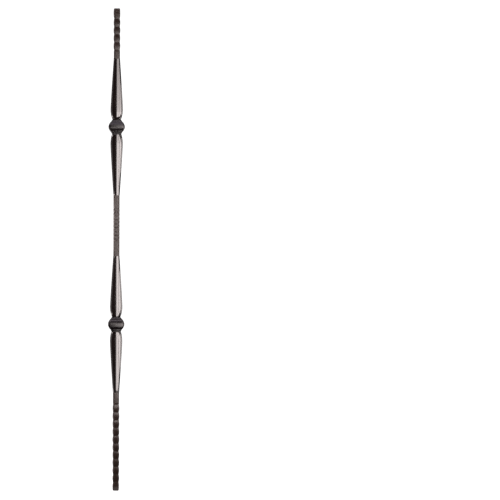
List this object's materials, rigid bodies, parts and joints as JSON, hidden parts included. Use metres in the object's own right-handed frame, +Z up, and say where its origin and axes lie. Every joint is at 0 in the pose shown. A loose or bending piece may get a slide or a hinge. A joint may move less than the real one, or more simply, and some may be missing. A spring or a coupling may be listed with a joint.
{
  "type": "iron stair baluster",
  "caption": "Square iron stair baluster of hammered bar with smooth tapered spoons meeting at square knuckles, fixed upright between a tread and a handrail.",
  "frame": {"origin": "centre of the bottom end, where the bar meets the tread", "axes": "+Z runs up the bar from the tread to the handrail, and +X and +Y are square to the bar's faces"},
  "size_m": [0.0382, 0.0382, 1.1176],
  "materials": {
    "coating": "satin"
  },
  "bodies": {
    "root": {"baluster": "coating"}
  },
  "joints": []
}
